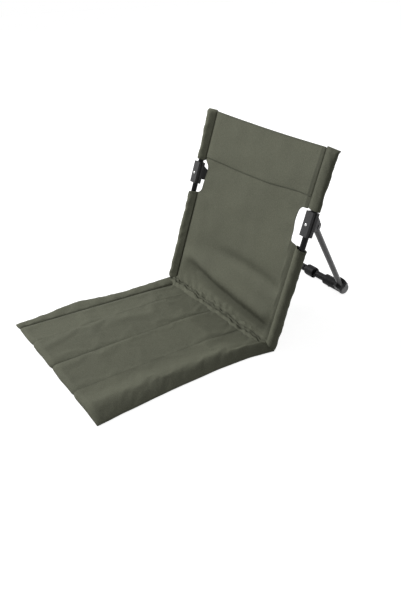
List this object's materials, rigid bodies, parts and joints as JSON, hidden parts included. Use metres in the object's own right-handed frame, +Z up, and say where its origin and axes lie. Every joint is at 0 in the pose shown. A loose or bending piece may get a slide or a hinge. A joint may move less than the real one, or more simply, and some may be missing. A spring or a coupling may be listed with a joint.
{
  "type": "folding ground chair",
  "caption": "Folding ground chair with a quilted cloth seat mat that lies on the floor, a leaning sling back on two uprights and a rear prop stand with a hinged crossbar.",
  "frame": {"origin": "on the floor, at the middle of the unfolded chair's footprint", "axes": "+Z up, +Y towards the rear stand, so the sitter faces -Y, +X to the sitter's left"},
  "size_m": [0.42, 0.7412, 0.4196],
  "materials": {
    "oxford_cloth": "woven polyester, olive grey",
    "foam": "closed-cell foam strip",
    "black_tube": "gloss black paint",
    "grey_tube": "satin grey paint",
    "black_plastic": "moulded, fine texture",
    "grey_plastic": "moulded, satin",
    "bright_steel": "bright rivet",
    "black_steel": "blackened steel"
  },
  "bodies": {
    "sling": {"back_panel": "oxford_cloth", "headrest_layer": "oxford_cloth", "crease_seam": "oxford_cloth"},
    "seat_mat": {"seat_cover": "oxford_cloth", "seat_foam_1": "foam", "seat_foam_2": "foam", "seat_foam_3": "foam", "seat_foam_4": "foam", "side_roll_filling_left": "foam", "side_roll_filling_right": "foam"},
    "hub": {"hub_housing": "black_plastic", "hub_pin_left": "black_steel", "hub_pin_right": "black_steel"},
    "crossbar_left": {"crossbar_tube_left": "black_tube", "crossbar_tongue_left": "black_plastic", "crossbar_rivet_left": "black_steel", "foot_fitting_left": "black_plastic", "foot_pad_left": "grey_plastic", "foot_pivot_pin_left": "black_steel"},
    "leg_left": {"rear_leg_tube_left": "grey_tube", "leg_top_plug_left": "black_plastic", "leg_bottom_plug_left": "grey_plastic"},
    "upright_left": {"upright_tube_left": "black_tube", "upright_top_plug_left": "black_plastic", "upright_foot_cap_left": "black_plastic", "pivot_bracket_left": "black_plastic", "bracket_rivet_left": "bright_steel", "leg_pivot_pin_left": "black_steel", "lower_sleeve_left": "oxford_cloth", "upper_sleeve_left": "oxford_cloth"},
    "crossbar_right": {"crossbar_tube_right": "black_tube", "crossbar_tongue_right": "black_plastic", "crossbar_rivet_right": "black_steel", "foot_fitting_right": "black_plastic", "foot_pad_right": "grey_plastic", "foot_pivot_pin_right": "black_steel"},
    "leg_right": {"rear_leg_tube_right": "grey_tube", "leg_top_plug_right": "black_plastic", "leg_bottom_plug_right": "grey_plastic"},
    "upright_right": {"upright_tube_right": "black_tube", "upright_top_plug_right": "black_plastic", "upright_foot_cap_right": "black_plastic", "pivot_bracket_right": "black_plastic", "bracket_rivet_right": "bright_steel", "leg_pivot_pin_right": "black_steel", "lower_sleeve_right": "oxford_cloth", "upper_sleeve_right": "oxford_cloth"}
  },
  "joints": [
    {"name": "stand_fold", "type": "hinge", "parent": "sling", "child": "hub", "pos_m": [0, 0.26552, 0.28035], "axis": [-1, 0, 0], "range_deg": [0, 56.62], "deforming": ["back_panel", "headrest_layer", "crease_seam", "seat_cover", "seat_foam_1", "seat_foam_2", "seat_foam_3", "seat_foam_4", "side_roll_filling_left", "side_roll_filling_right"]},
    {"name": "crossbar_fold_right", "type": "hinge", "parent": "hub", "child": "crossbar_right", "pos_m": [0.0147, 0.35619, 0.01436], "axis": [0, 0.7725, 0.635], "range_deg": [0, 90]},
    {"name": "leg_fold_right", "type": "hinge", "parent": "crossbar_right", "child": "leg_right", "pos_m": [0.11175, 0.34324, 0.03012], "axis": [0, -0.7725, -0.635], "range_deg": [0, 105.01]},
    {"name": "upright_fold_right", "type": "hinge", "parent": "leg_right", "child": "upright_right", "pos_m": [0.19136, 0.15469, 0.25948], "axis": [0.9521, 0.292, -0.0904], "range_deg": [0, 57.9]},
    {"name": "crossbar_fold_left", "type": "hinge", "parent": "hub", "child": "crossbar_left", "pos_m": [-0.0147, 0.35619, 0.01436], "axis": [0, -0.7725, -0.635], "range_deg": [0, 90]},
    {"name": "leg_fold_left", "type": "hinge", "parent": "crossbar_left", "child": "leg_left", "pos_m": [-0.11175, 0.34324, 0.03012], "axis": [0, 0.7725, 0.635], "range_deg": [0, 105.01]},
    {"name": "upright_fold_left", "type": "hinge", "parent": "leg_left", "child": "upright_left", "pos_m": [-0.19136, 0.15469, 0.25948], "axis": [0.9521, -0.292, 0.0904], "range_deg": [0, 57.9]},
    {"name": "seat_fold", "type": "hinge", "parent": "sling", "child": "seat_mat", "pos_m": [0, 0.03645, 0.012], "axis": [-1, 0, 0], "range_deg": [0, 104]}
  ],
  "couplings": [
    {"joint": "crossbar_fold_right", "follows": "stand_fold", "ratio": 1.5895},
    {"joint": "leg_fold_right", "follows": "stand_fold", "ratio": 1.8546},
    {"joint": "upright_fold_right", "follows": "stand_fold", "ratio": 1.0226},
    {"joint": "crossbar_fold_left", "follows": "stand_fold", "ratio": 1.5895},
    {"joint": "leg_fold_left", "follows": "stand_fold", "ratio": 1.8546},
    {"joint": "upright_fold_left", "follows": "stand_fold", "ratio": 1.0226}
  ]
}
